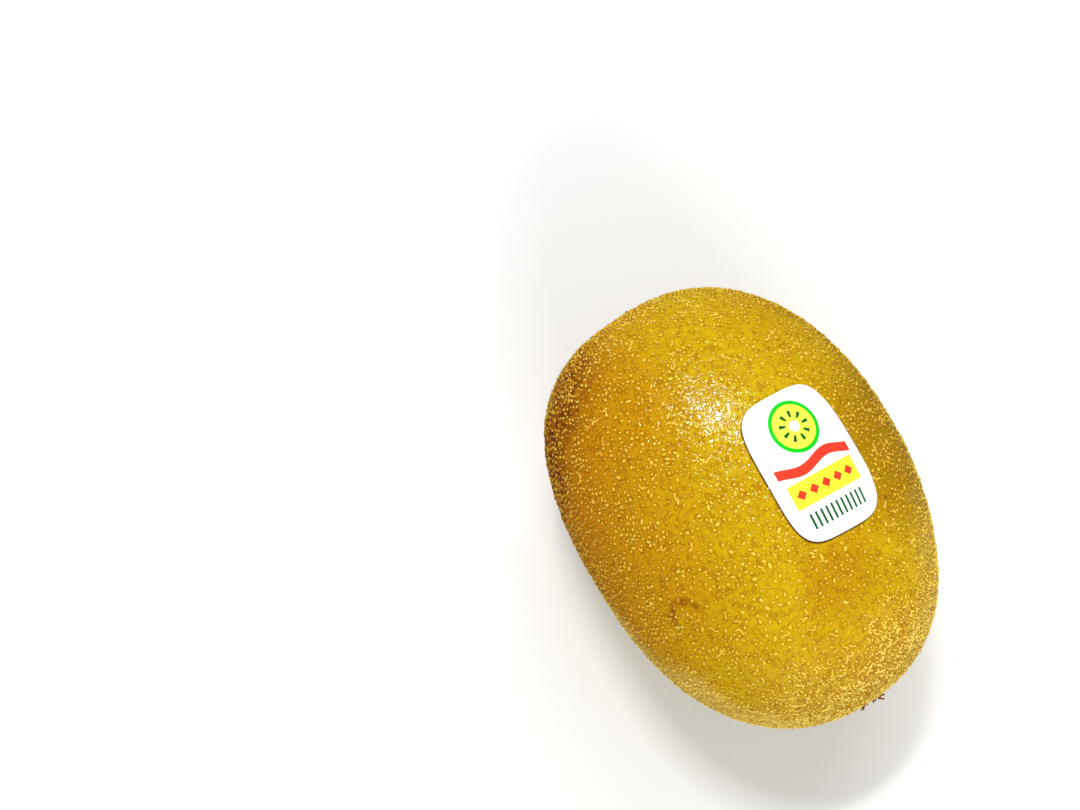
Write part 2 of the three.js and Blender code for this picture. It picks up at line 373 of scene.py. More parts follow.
def makeLenticels(name, rows):
    # low domes with their edges sunk in the skin
    sides = lenticelSetup["sides"]
    count = len(rows)
    middle = rows[:, :3]
    turn, width, length, height = (rows[:, i : i + 1] for i in range(3, 7))
    points = onSkin(middle)
    relief, blossom, net = skinRelief(points)
    outward, along, aside = tangents(middle)
    way = along * np.cos(turn) + aside * np.sin(turn)
    first = way * length
    second = np.cross(outward, way) * width
    base = points + outward * relief[:, None]
    shoulder, lift = lenticelSetup["shoulder"]
    rings = []
    for reach, rise in ((lenticelSetup["foot"], -lenticelSetup["root"]), (shoulder, lift * height)):
        for k in range(sides):
            a = 2 * math.pi * k / sides
            rings.append(base + reach * (first * math.cos(a) + second * math.sin(a)) + outward * rise)
    rings.append(base + outward * height)
    verts = np.stack(rings, 1)
    top = 2 * sides
    one = [tuple(range(sides))[::-1]]
    for k in range(sides):
        n = (k + 1) % sides
        one += [(k, n, sides + n, sides + k), (sides + k, sides + n, top)]
    faces = [tuple(i * (top + 1) + j for j in f) for i in range(count) for f in one]
    piece = newPiece(name, verts.reshape(-1, 3), faces, "skin")
    rnd = np.random.default_rng(lenticelSetup["seed"] + count)
    each = np.array([0.0] * sides + [0.75] * sides + [1.0])  # foot, shoulder and tip
    addValues(piece, "lenticel", np.tile(each, count))
    addValues(piece, "tone", np.repeat(rnd.uniform(0, 1, count), top + 1))
    addValues(piece, "blossomEnd", np.repeat(blossom, top + 1))
    addValues(piece, "net", np.repeat(net, top + 1))
    corners = np.zeros(len(piece.data.loops), np.int32)
    piece.data.loops.foreach_get("vertex_index", corners)
    d = unit(verts.reshape(-1, 3) - berryCentre)
    layFlat(piece, flatPlace(d, np.repeat(middle, top + 1, axis=0))[corners])
    return piece


# The label

labelSetup = {
    "height": 21.8,  # mm
    "width": 15.6,
    "power": 4.2,  # how square its outline is
    "station": -1.3,  # its middle, from the berry's centre along X
    "azimuth": math.radians(71.4),
    "turn": math.radians(4.4),
    "under": 0.04,  # from the skin to the paper
    "thickness": 0.13,
    "rounding": 0.03,  # of the upper edge
    "puckers": 0.03,
    "curl": 0.16,  # of the part of the edge that is lifted
    "curlTowards": 5.3,  # where round the edge it lies, radians
    "rings": 26,
    "sectors": 128,
}


def underLabel(right, up):
    # a place on the paper, in mm from its middle, to a unit vector towards the skin under it
    turn = labelSetup["turn"]
    along = -up * np.cos(turn) + right * np.sin(turn)
    around = -up * np.sin(turn) - right * np.cos(turn)
    return towards(labelSetup["station"] + along, labelSetup["azimuth"] + around / berry["halfWidth"])


def labelCover(points, soft=0.06):
    # 1 under the label, fading to 0 just outside it
    middle = onSkin(underLabel(np.zeros(1), np.zeros(1)))[0]
    outward = unit((middle - berryCentre) * np.array([0, 1, 1]))
    azimuth = np.arctan2(points[:, 2] - berryCentre[2], points[:, 1] - berryCentre[1])
    around = (azimuth - labelSetup["azimuth"]) * berry["halfWidth"]
    along = points[:, 0] - berryCentre[0] - labelSetup["station"]
    turn = labelSetup["turn"]
    up = -along * np.cos(turn) - around * np.sin(turn)
    right = along * np.sin(turn) - around * np.cos(turn)
    n = labelSetup["power"]
    share = np.abs(2 * right / labelSetup["width"]) ** n + np.abs(2 * up / labelSetup["height"]) ** n
    sameSide = (points - middle) @ outward > -8
    return smoothStep(1.0 + soft, 0.99, share ** (1 / n)) * sameSide


def plate(towardsRing, rings, sectors, low, high):
    # points and faces of a closed plate on the skin; low and high give its two faces' lifts
    angle = np.arange(sectors) * 2 * math.pi / sectors
    share = np.repeat(np.arange(1, rings + 1) / rings, sectors)
    share, angle = np.append(0, share), np.append(0, np.tile(angle, rings))
    d = towardsRing(share, angle)
    points = np.concatenate([onSkin(d, low(share, angle)), onSkin(d, high(share, angle))])
    layer = len(share)
    faces = []
    for k in range(sectors):
        n = (k + 1) % sectors
        for side in (0, 1):
            base = side * layer
            ring = [(base, base + 1 + k, base + 1 + n)]
            for j in range(rings - 1):
                a, b = base + 1 + j * sectors, base + 1 + (j + 1) * sectors
                ring.append((a + k, b + k, b + n, a + n))
            faces += [f if side else f[::-1] for f in ring]
        a = 1 + (rings - 1) * sectors
        faces.append((a + k, a + n, layer + a + n, layer + a + k))
    return points, faces, share, angle


def makeLabel():
    n = labelSetup["power"]

    def place(share, angle):
        c, s = np.cos(angle), np.sin(angle)
        fit = (np.abs(c) ** n + np.abs(s) ** n) ** (-1 / n)
        return share * fit * c * labelSetup["width"] / 2, share * fit * s * labelSetup["height"] / 2

    def ring(share, angle):
        return underLabel(*place(share, angle))

    def low(share, angle):
        right, up = place(share, angle)
        spots = np.stack([right, up, np.zeros_like(up)], -1)
        puckers = labelSetup["puckers"] * np.maximum(noiseAt(spots, 1.3, seed=4.0), 0)
        lifted = smoothStep(0.55, 1.0, np.cos(angle - labelSetup["curlTowards"]))
        return labelSetup["under"] + puckers + labelSetup["curl"] * smoothStep(0.8, 1.0, share) * lifted

    def high(share, angle):
        atRim = share > 0.999
        return low(share, angle) + labelSetup["thickness"] - labelSetup["rounding"] * atRim

    points, faces, share, angle = plate(ring, labelSetup["rings"], labelSetup["sectors"], low, high)
    piece = newPiece("paperLabel", points, faces, "paper", ["label"])
    right, up = place(share, angle)
    addValues(piece, "labelRight", np.tile(right, 2))
    addValues(piece, "labelUp", np.tile(up, 2))
    addValues(piece, "labelFace", np.repeat([0.0, 1.0], len(share)))
    return piece


lenticelRows = placeLenticels()
atEnd = lenticelRows[:, 0] > lenticelSetup["split"]
print(len(lenticelRows), "lenticels,", atEnd.sum(), "of them towards the blossom end")
skin = makeSkin(lenticelRows)
lenticels = makeLenticels("lenticels", lenticelRows[~atEnd])
endLenticels = makeLenticels("endLenticels", lenticelRows[atEnd])
print("skin made")
paperLabel = makeLabel()
print("label made")


# The dried styles

stylesSetup = {
    "count": 50,
    "padRadius": 2.6,  # of the dry pad that they stand on, mm
    "padHeight": 0.5,
    "padEdge": 0.12,
    "padRoot": 0.15,  # how deep it is sunk
    "spread": 2.2,
    "shortest": 0.8,
    "longest": 2.1,
    "radius": 0.32,
    "flakeWidth": 2.2,  # how much wider a flake is than a bristle
    "sides": 6,
    "steps": 9,
    "seed": 11,
}


def ringQuads(rings, sides):
    # the faces between rings of points that are listed one ring after another
    faces = []
    for j in range(rings - 1):
        for k in range(sides):
            n = (k + 1) % sides
            faces.append((j * sides + k, j * sides + n, (j + 1) * sides + n, (j + 1) * sides + k))
    return faces


def tube(points, radii, sides, flatten=1.0):
    # a closed tapering tube along points; flatten squeezes it across into a strip
    points = np.asarray(points)
    ahead = unit(np.gradient(points, axis=0))
    aside = unit(np.cross(ahead[0], [0.3, 0.9, 0.31]))
    verts = []
    for p, t, r in zip(points, ahead, radii):
        aside = unit(aside - t * (aside @ t))
        other = np.cross(t, aside)
        for k in range(sides):
            a = 2 * math.pi * k / sides
            verts.append(p + r * (aside * math.cos(a) + other * math.sin(a) * flatten))
    faces = ringQuads(len(points), sides)
    faces.append(tuple(range(sides))[::-1])
    faces.append(tuple((len(points) - 1) * sides + k for k in range(sides)))
    return verts, faces


def joinParts(parts):
    verts, faces = [], []
    for v, f in parts:
        base = len(verts)
        verts += list(v)
        faces += [tuple(base + i for i in g) for g in f]
    return verts, faces


def makePad():
    edge = stylesSetup["padEdge"]

    def ring(share, angle):
        radius = share * stylesSetup["padRadius"]
        return towardsEnd(1, radius * np.cos(angle), radius * np.sin(angle))

    def low(share, angle):
        return np.full_like(share, -stylesSetup["padRoot"])

    def high(share, angle):
        return edge + stylesSetup["padHeight"] * (1 - share**3) + edge * np.sin(9 * angle) * share

    return plate(ring, 8, 40, low, high)[:2]


def makeStyle(rnd, i):
    # a bent bristle or a flake, leaning out more the farther it stands from the middle
    share = math.sqrt((i + 0.5) / stylesSetup["count"])
    angle = i * goldenAngle
    out = stylesSetup["spread"] * share
    y, z = out * math.cos(angle), out * math.sin(angle)
    root = onSkin(towardsEnd(1, np.array([y]), np.array([z])), np.array([0.2]))[0]
    lean = 0.1 + 0.8 * share + 0.4 * rnd.random()
    swing = angle + rnd.uniform(-0.6, 0.6)
    across = math.sin(lean)
    way = np.array([math.cos(lean), across * math.cos(swing), across * math.sin(swing)])
    bend = np.array([rnd.uniform(-1, 0.2), rnd.gauss(0, 0.8), rnd.gauss(0, 0.8)])
    length = rnd.uniform(stylesSetup["shortest"], stylesSetup["longest"])
    steps = stylesSetup["steps"]
    path = [root]
    for _ in range(steps):
        way = unit(way + bend * 0.13)
        path.append(path[-1] + way * length / steps)
    flake = i % 8 == 5
    t = np.linspace(0, 1, steps + 1)
    width = stylesSetup["radius"] * rnd.uniform(0.7, 1.2) * (stylesSetup["flakeWidth"] if flake else 1)
    radii = width * (1 - 0.6 * t**1.5) * (1 + 0.12 * np.sin(9 * t + i))
    return tube(path, radii, stylesSetup["sides"], 0.3 if flake else 0.8)


def makeStyles():
    rnd = random.Random(stylesSetup["seed"])
    parts = [makePad()] + [makeStyle(rnd, i) for i in range(stylesSetup["count"])]
    return newPiece("driedStyles", *joinParts(parts), "dried_style", ["dried_styles"])


# The dried calyx

calyxSetup = {
    "sepals": 5,
    "innerRadius": 3.1,  # between the sepals, mm
    "outerRadius": 5.6,  # of the longest
    "thickness": 0.16,
    "veins": 40,
    "veinHeight": 0.05,
    "midribHeight": 0.10,
    "curl": 0.3,  # of the tips
    "rimRadius": 2.5,  # of the corky ring
    "stubRadius": 1.6,
    "stubHeight": 1.5,
    "sectors": 72,
    "seed": 5,
}


def seeded(state):
    # the same repeatable numbers as the solid's
    while True:
        state = (state * 1664525 + 1013904223) % 4294967296
        yield state / 4294967296


def makeSepals():
    # a torn star that lies on the skin
    numbers = seeded(calyxSetup["seed"])
    sepals = calyxSetup["sepals"]
    inner, outer = calyxSetup["innerRadius"], calyxSetup["outerRadius"]
    reach = np.array([0.72 + 0.28 * next(numbers) for _ in range(sepals)])

    def outline(angle):
        turn = angle / (2 * math.pi) * sepals
        lobe = np.abs(np.cos(turn * math.pi)) ** 0.8
        length = reach[np.round(turn).astype(int) % sepals]
        torn = 0.22 * np.sin(31 * angle) * np.sin(17 * angle + 1)
        return inner + (outer * length - inner + torn) * lobe

    def ring(share, angle):
        radius = share * outline(angle)
        return towardsEnd(-1, radius * np.cos(angle), -radius * np.sin(angle))

    def high(share, angle):
        turn = angle / (2 * math.pi) * sepals
        lobe = np.abs(np.cos(turn * math.pi))
        veins = calyxSetup["veinHeight"] * np.sin(angle * calyxSetup["veins"])
        veins += calyxSetup["midribHeight"] * smoothStep(0.985, 1.0, lobe)
        curl = calyxSetup["curl"] * smoothStep(0.55, 1.0, share) * lobe * (1 + 0.4 * np.sin(3 * angle))
        return 0.30 + veins * smoothStep(0.2, 0.5, share) + curl

    def low(share, angle):
        return high(share, angle) - calyxSetup["thickness"] - 0.2 * (1 - smoothStep(0.3, 0.7, share))

    return plate(ring, 20, 200, low, high)[:2]


def makeStub():
    # the corky ring where the stalk broke off and the stub inside it, each a section in shares of its size
    top, rim, stub = calyxSetup["stubHeight"], calyxSetup["rimRadius"], calyxSetup["stubRadius"]
    sectors = calyxSetup["sectors"]
    rimShares = [(1.02, -0.2), (1, 0.1), (1.03, 0.35), (0.99, 0.55)]
    rimShares += [(0.93, 0.72), (0.84, 0.76), (0.75, 0.68)]
    stubShares = [(1, 0.42), (0.8, 0.36), (0.6, 0.5), (0.5, 0.85), (0.4, 1), (0.2, 1.02)]
    section = [(rim * r, top * h) for r, h in rimShares] + [(stub * r, top * h) for r, h in stubShares]
    roughRings = range(1, len(rimShares) + 1)
    end = onSkin(np.array([[-1.0, 0, 0]]), np.array([0.4]))[0]
    verts = []
    for j, (r, h) in enumerate(section):
        for k in range(sectors):
            a = 2 * math.pi * k / sectors
            rough = noise.noise(Vector((3 * math.cos(a), 3 * math.sin(a), j * 0.8)))
            crack = max(0.0, math.cos(9 * a + 0.8 * math.sin(2 * a))) ** 8
            out = r * (1 + 0.05 * rough) * (1 - 0.05 * crack)
            up = h + (0.12 * rough - 0.16 * crack) * (j in roughRings)
            verts.append(end + np.array([-up, out * math.cos(a), -out * math.sin(a)]))
    faces = ringQuads(len(section), sectors)
    last = (len(section) - 1) * sectors
    tip, foot = len(verts), len(verts) + 1
    for k in range(sectors):
        n = (k + 1) % sectors
        faces += [(last + k, last + n, tip), (n, k, foot)]
    verts += [end + np.array([-top, 0, 0]), end + np.array([0.3, 0, 0])]
    return verts, faces


def makeCalyx():
    return newPiece("driedCalyx", *joinParts([makeSepals(), makeStub()]), "dried_sepal", ["dried_calyx"])


# Fine stiff hairs, left here and there on the skin and thicker at its ends

hairSetup = {
    "body": 1500,
    "ends": 3400,
    "length": (0.15, 0.4),  # mm
    "endLength": (0.25, 0.7),
    "radius": 0.032,
    "root": 0.1,  # how deep they are sunk
    "lean": 0.45,
    "lowest": 1.2,  # none is lower than this over the floor
    "tries": 60000,
    "seed": 21,
}


def makeHairs():
    # each is a thin spike with three sides
    rnd = np.random.default_rng(hairSetup["seed"])
    d = unit(rnd.normal(size=(hairSetup["tries"], 3)))
    points = onSkin(d)
    x = points[:, 0]
    nearEnd = np.maximum(smoothStep(24, 34, x), smoothStep(-25, -34, x))
    above = points[:, 2] > hairSetup["lowest"]
    bodyOnes = np.flatnonzero(above & (nearEnd < 0.15) & (labelCover(points) == 0))[: hairSetup["body"]]
    endOnes = np.flatnonzero(above & (rnd.random(len(d)) < nearEnd**2))[: hairSetup["ends"]]
    verts, faces = [], []
    for ones, span in ((bodyOnes, hairSetup["length"]), (endOnes, hairSetup["endLength"])):
        for i in ones:
            n = unit(d[i] * np.array([0.7, 1, 1]))
            way = unit(n + rnd.normal(0, hairSetup["lean"], 3))
            side = unit(np.cross(way, [0.3, 0.8, 0.52])) * hairSetup["radius"]
            other = 0.87 * np.cross(way, side)
            root = points[i] - hairSetup["root"] * n
            back = root - 0.5 * side
            tip = root + way * (rnd.uniform(*span) + hairSetup["root"])
            base = len(verts)
            verts += [root + side, back + other, back - other, tip]
            faces += [tuple(base + k for k in f) for f in ((0, 1, 3), (1, 2, 3), (2, 0, 3), (2, 1, 0))]
    return newPiece("fineHairs", verts, faces, "skin", smooth=False)


driedStyles = makeStyles()
driedCalyx = makeCalyx()
fineHairs = makeHairs()
print("ends and hairs made")


# Materials


class Wiring:
    # short ways to add nodes to a tree

    def __init__(self, tree):
        self.tree = tree

    def put(self, kind, values=None, **settings):
        made = self.tree.nodes.new(kind)
        for key, value in settings.items():
            setattr(made, key, value)
        for key, value in (values or {}).items():
            self.feed(made.inputs[key], value)
        return made

    def feed(self, socket, value):
        if isinstance(value, bpy.types.NodeSocket):
            self.tree.links.new(value, socket)
        else:
            socket.default_value = value

    def math(self, operation, *values, clamp=False):
        made = self.put("ShaderNodeMath", operation=operation, use_clamp=clamp)
        for socket, value in zip(made.inputs, values):
            self.feed(socket, value)
        return made.outputs[0]

    def mix(self, factor, first, second, blend="MIX"):
        made = self.put("ShaderNodeMix", data_type="RGBA", blend_type=blend)
        for socket, value in zip((made.inputs[0], made.inputs[6], made.inputs[7]), (factor, first, second)):
            self.feed(socket, value)
        return made.outputs[2]

    def ramp(self, value, low, high, fromLow=0.0, toHigh=1.0):
        made = self.put("ShaderNodeMapRange", interpolation_type="SMOOTHSTEP")
        for socket, given in zip(made.inputs, (value, low, high, fromLow, toHigh)):
            self.feed(socket, given)
        return made.outputs[0]

    def value(self, name):
        return self.put("ShaderNodeAttribute", attribute_name=name).outputs["Fac"]

    def noise(self, place, scale, detail=2.0, roughness=0.5):
        made = self.put("ShaderNodeTexNoise", {"Scale": scale, "Detail": detail, "Roughness": roughness})
        self.feed(made.inputs["Vector"], place)
        return made.outputs[0]


def rgb(red, green, blue):
    # a colour as seen on a screen, 0 to 255, in the renderer's own linear scale
    def one(c):
        c = c / 255
        return c / 12.92 if c <= 0.04045 else ((c + 0.055) / 1.055) ** 2.4

    return (one(red), one(green), one(blue), 1.0)


def newMaterial(name, **settings):
    material = bpy.data.materials.new(name)
    material.use_nodes = True
    w = Wiring(material.node_tree)
    shader = material.node_tree.nodes["Principled BSDF"]
    for key, value in settings.items():
        shader.inputs[key.replace("_", " ")].default_value = value
    return material, w, shader


def newGroup(name, inputs, outputs):
    # a node group with named sockets: each input's kind and starting value, and each output's kind
    tree = bpy.data.node_groups.new(name, "ShaderNodeTree")
    for label, (kind, start) in inputs.items():
        socket = tree.interface.new_socket(label, in_out="INPUT", socket_type="NodeSocket" + kind)
        if start is not None:
            socket.default_value = start
    for label, kind in outputs.items():
        tree.interface.new_socket(label, in_out="OUTPUT", socket_type="NodeSocket" + kind)
    w = Wiring(tree)
    return tree, w, w.put("NodeGroupInput").outputs


def mottleGroup():
    # two colours in soft patches with finer flecks inside them
    inputs = {
        "Place": ("Vector", None),
        "Colour": ("Color", (0.5, 0.5, 0.5, 1)),
        "Patch": ("Color", (0.3, 0.3, 0.3, 1)),
        "Patch Scale": ("Float", 60.0),
        "Fleck Scale": ("Float", 900.0),
        "Flecks": ("Float", 0.3),
    }
    tree, w, given = newGroup("mottle", inputs, {"Colour": "Color", "Mask": "Float"})
    broad = w.noise(given["Place"], given["Patch Scale"], 3.0, 0.55)
    fleck = w.noise(given["Place"], given["Fleck Scale"], 2.0, 0.6)
    flecks = w.math("MULTIPLY", w.math("SUBTRACT", fleck, 0.5), given["Flecks"])
    spotted = w.math("ADD", w.ramp(broad, 0.35, 0.68), flecks, clamp=True)
    out = w.put("NodeGroupOutput")
    w.feed(out.inputs["Colour"], w.mix(spotted, given["Colour"], given["Patch"]))
    w.feed(out.inputs["Mask"], spotted)
    return tree


def grainGroup():
    # fine grain for bump: soft creases with pores between them
    inputs = {"Place": ("Vector", None), "Scale": ("Float", 2500.0), "Pores": ("Float", 0.4)}
    tree, w, given = newGroup("fineGrain", inputs, {"Height": "Float"})
    crease = w.noise(given["Place"], given["Scale"], 3.0, 0.6)
    closer = w.math("MULTIPLY", given["Scale"], 0.7)
    pore = w.put("ShaderNodeTexVoronoi", {"Scale": closer, "Vector": given["Place"]}).outputs[0]
    pores = w.math("MULTIPLY", w.ramp(pore, 0.0, 0.5), given["Pores"])
    out = w.put("NodeGroupOutput")
    w.feed(out.inputs["Height"], w.math("ADD", crease, pores))
    return tree


mottle = mottleGroup()
fineGrain = grainGroup()


def placed(w):
    return w.put("ShaderNodeTexCoord").outputs["Object"]


def grouped(w, tree, values):
    made = w.put("ShaderNodeGroup", node_tree=tree)
    for key, value in values.items():
        w.feed(made.inputs[key], value)
    return made.outputs


def bumped(w, height, strength, distance, under=None):
    values = {"Height": height, "Strength": strength, "Distance": distance}
    if under is not None:
        values["Normal"] = under
    return w.put("ShaderNodeBump", values).outputs[0]


skinColours = {
    "gold": rgb(197, 165, 9),
    "amber": rgb(192, 155, 6),
    # the browner side: partly the skin's own colour and partly painted shade
    "side": rgb(194, 115, 0),
    "shaded": rgb(146, 106, 2),
    "dull": rgb(166, 108, 2),
    # painted shade round and under the lenticels and in the hollows of the peel
    "foot": rgb(142, 88, 0),
    "russet": rgb(104, 30, 4),
    "straw": rgb(255, 232, 112),
    "netShade": rgb(184, 128, 6),
    "netLight": rgb(214, 170, 42),
    # a painted sheen on one flank and the underside, standing in for the floor's reflection at grazing
    # angles
    "paintedSheenFlank": rgb(234, 200, 92),
    "scuff": rgb(134, 62, 8),
    "speck": rgb(104, 62, 14),
    # painted shade on the skin just round the label's edge
    "labelEdgeShade": rgb(84, 40, 14),
    # the lenticels' paler cork, their tops partly painted light
    "tip": rgb(255, 224, 70),
    "orangeTip": rgb(242, 184, 36),
}


# Patches of the skin: the middle, in mm from the berry's centre, the radius of the full part,
# and how many times that radius the whole patch has
skinPatches = {
    "russetShoulder": ((-31, -14, 5), 7, 2.0),
    "russetFlank": ((-24, -21, 3), 5, 2.2),
    "shadedBand": ((3, 21, 15), 6, 3.0),
    "dullPatch": ((14, 3, 22), 3, 3.2),
    "bruise": ((7.6, -18.7, 18.0), 2.4, 1.6),
    "bruiseHollow": ((7.6, -18.7, 18.0), 1.8, 1.25),
}

# Sides of the berry with a tone laid on: one browner, partly its own colour and partly painted shade,
# and two paler, a painted sheen. Each gives the way the tone grows, where it starts and is full,
# how strong it is then, and the noise that makes its edge uneven
skinSides = {
    "brownerAndShaded": {
        "way": (-8.0, -20.0, 2.0), "start": 0.28, "full": 0.86, "most": 0.85,
        "uneven": 0.2, "scale": 70.0, "detail": 2.0,
    },
    "paintedSheenFlank": {
        "way": (18.0, 30.0, -10.0), "start": 0.42, "full": 0.92, "most": 0.75,
        "uneven": 0.3, "scale": 220.0, "detail": 3.0,
    },
    "paintedSheenUnderside": {
        "way": (16.0, -28.0, -22.0), "start": 0.28, "full": 0.58, "most": 0.8,
        "uneven": 0.45, "scale": 130.0, "detail": 4.0,
    },
}


def spotMask(w, place, middle, radius, soft):
    # 1 in a ball round a place given in mm from the berry's centre
    at = (np.array(middle) + berryCentre) * mm
    far = w.put("ShaderNodeVectorMath", {0: place, 1: tuple(at)}, operation="DISTANCE").outputs["Value"]
    return w.ramp(far, radius * mm, radius * mm * soft, 1.0, 0.0)


def sideMask(w, place, side):
    # grows towards one side of the berry
    across = w.put("ShaderNodeVectorMath", {0: place, 1: side["way"]}, operation="DOT_PRODUCT")
    edge = w.noise(place, side["scale"], side["detail"])
    uneven = w.math("MULTIPLY_ADD", edge, side["uneven"], across.outputs["Value"])
    return w.ramp(uneven, side["start"], side["full"], 0.0, side["most"])


def bruiseMask(w, place):
    # a broken bow, open towards the blossom end
    hollow = w.math("SUBTRACT", 1.0, spotMask(w, place, *skinPatches["bruiseHollow"]))
    bow = w.math("MULTIPLY", spotMask(w, place, *skinPatches["bruise"]), hollow)
    x = w.put("ShaderNodeSeparateXYZ", {0: place}).outputs["X"]
    bow = w.math("MULTIPLY", bow, w.ramp(x, 7.2 * mm, 9.4 * mm, 1.0, 0.0))
    return w.math("MULTIPLY", bow, w.ramp(w.noise(place, 700.0), 0.36, 0.56, 0.35, 0.9))


def speckMask(w, place):
    # stray specks in some parts of the skin
    cells = w.put("ShaderNodeTexVoronoi", {"Scale": 210.0, "Vector": place, "Randomness": 1.0})
    dots = w.ramp(cells.outputs["Distance"], 0.05, 0.11, 1.0, 0.0)
    return w.math("MULTIPLY", dots, w.ramp(w.noise(place, 90.0), 0.56, 0.64))


def groundGroup():
    # the skin's own colour between the lenticels
    c = skinColours
    inputs = {"Place": ("Vector", None), "Blossom End": ("Float", 0.0), "Net": ("Float", 0.0)}
    outputs = {"Colour": "Color", "Russet": "Float", "Painted Sheen": "Float"}
    tree, w, given = newGroup("goldenGround", inputs, outputs)
    place, blossom, net = given["Place"], given["Blossom End"], given["Net"]

    def over(base, mask, strength, name):
        return w.mix(w.math("MULTIPLY", mask, strength), base, c[name])

    patches = {"Place": place, "Colour": c["gold"], "Patch": c["amber"]}
    patches.update({"Patch Scale": 75.0, "Fleck Scale": 1400.0, "Flecks": 1.2})
    base = grouped(w, mottle, patches)["Colour"]
    # the -Y side is browner and darker, partly its own colour and partly painted shade standing in for
    # fruit beside it, with russet on its stalk shoulder
    base = w.mix(sideMask(w, place, skinSides["brownerAndShaded"]), base, c["side"])
    shoulder = spotMask(w, place, *skinPatches["russetShoulder"])
    shoulder = w.math("MAXIMUM", shoulder, spotMask(w, place, *skinPatches["russetFlank"]))
    patchy = w.ramp(w.noise(place, 700.0, 3.0, 0.6), 0.4, 0.58)
    russet = w.math("MULTIPLY", shoulder, w.math("MULTIPLY_ADD", patchy, 0.75, 0.2))
    base = w.mix(russet, base, c["russet"])
    # the dry wrinkled skin at the blossom end
    netColour = w.mix(w.ramp(net, 0.2, 0.6), c["netShade"], c["netLight"])
    base = w.mix(w.math("MULTIPLY", blossom, 0.8), base, netColour)
    # painted sheen: the other side's flank and the underside towards the blossom end are paler, standing in
    # for the floor's reflection at grazing angles
    pale = w.math("MAXIMUM", *(sideMask(w, place, skinSides[k]) for k in ("paintedSheenFlank", "paintedSheenUnderside")))
    base = w.mix(pale, base, c["paintedSheenFlank"])
    # painted shade: a darker band on the flank beside the label; also a broad brownish patch beside the
    # label, a brown bruise, and dark specks
    base = over(base, spotMask(w, place, *skinPatches["shadedBand"]), 0.65, "shaded")
    base = over(base, spotMask(w, place, *skinPatches["dullPatch"]), 0.45, "dull")
    base = w.mix(bruiseMask(w, place), base, c["scuff"])
    base = over(base, speckMask(w, place), 0.75, "speck")
    out = w.put("NodeGroupOutput")
    for name, value in {"Colour": base, "Russet": russet, "Painted Sheen": pale}.items():
        w.feed(out.inputs[name], value)
    return tree


def peelGroup():
    # the skin between the lenticels: small soft lumps that run together, for bump and shade
    inputs = {"Place": ("Vector", None), "Scale": ("Float", 1200.0), "Winding": ("Float", 0.6)}
    tree, w, given = newGroup("finePeel", inputs, {"Height": "Float", "Hollow": "Float"})
    values = {"Scale": given["Scale"], "Detail": 1.5, "Roughness": 0.5, "Vector": given["Place"]}
    lumps = w.put("ShaderNodeTexNoise", {**values, "Distortion": given["Winding"]}).outputs[0]
    out = w.put("NodeGroupOutput")
    w.feed(out.inputs["Height"], w.ramp(lumps, 0.3, 0.72))
    w.feed(out.inputs["Hollow"], w.ramp(lumps, 0.36, 0.5, 1.0, 0.0))
    return tree


goldenGround = groundGroup()
finePeel = peelGroup()


def groundOf(w, place):
    values = {"Place": place, "Blossom End": w.value("blossomEnd"), "Net": w.value("net")}
    return grouped(w, goldenGround, values)


skinFinish = {
    "specular": 0.5,
    "roughness": 0.12,
    "dryRoughness": 0.3,  # added at the dry blossom end and where the painted sheen lies
    "foot": (-0.05, 0.45),  # shade round a lenticel: the change where it is pale, and the rest
    "hollow": (0.1, 0.5),  # shade between the lumps of the peel, the same way
    "peelScale": 1150.0,
    "peelWinding": 1.0,
    "peelDepth": 0.00007,  # m
    "grainScale": 1700.0,
    "grainDepth": 0.00006,
}


def skinMaterial():
    c, f = skinColours, skinFinish
    material, w, shader = newMaterial("goldenSkin", Specular_IOR_Level=f["specular"])
    place, blossom = placed(w), w.value("blossomEnd")
    ground = groundOf(w, place)
    # pale joins the dry blossom end and the painted sheen
    pale = w.math("MAXIMUM", blossom, ground["Painted Sheen"])
    # painted shade: darker round each lenticel's foot and in the hollows between the peel's lumps
    foot = w.math("MULTIPLY", w.value("foot"), w.math("MULTIPLY_ADD", pale, *f["foot"]))
    peel = grouped(w, finePeel, {"Place": place, "Scale": f["peelScale"], "Winding": f["peelWinding"]})
    hollow = w.math("MULTIPLY", peel["Hollow"], w.math("MULTIPLY_ADD", pale, *f["hollow"]))
    colour = w.mix(hollow, ground["Colour"], c["foot"])
    colour = w.mix(foot, colour, c["foot"])
    # painted shade: the skin darkens just round the label's edge
    colour = w.mix(w.ramp(w.value("besideLabel"), 0.1, 0.7), colour, c["labelEdgeShade"])
    w.feed(shader.inputs["Base Color"], colour)
    w.feed(shader.inputs["Roughness"], w.math("MULTIPLY_ADD", pale, f["dryRoughness"], f["roughness"]))
    grain = grouped(w, fineGrain, {"Place": place, "Scale": f["grainScale"], "Pores": 0.6})["Height"]
    fine = bumped(w, grain, 0.3, f["grainDepth"])
    depth = w.math("MULTIPLY", peel["Height"], w.math("MULTIPLY_ADD", blossom, 1.0, 1.0))
    w.feed(shader.inputs["Normal"], bumped(w, depth, 1.0, f["peelDepth"], fine))
    return material


lenticelFinish = {
    "specular": 0.8,
    "roughness": (0.12, 0.18),  # the change from one to another, and the least
    "straw": 0.9,  # how far the tips turn to straw where the skin is pale
    "shade": (-0.2, 0.7),  # of the foot: the change where it is pale, and the rest
    "shown": (0.4, 0.55),  # how far the tip's colour shows, the same way
    "shownOnRusset": 0.3,
    "grainScale": 2600.0,
    "grainDepth": 0.00005,  # m
}


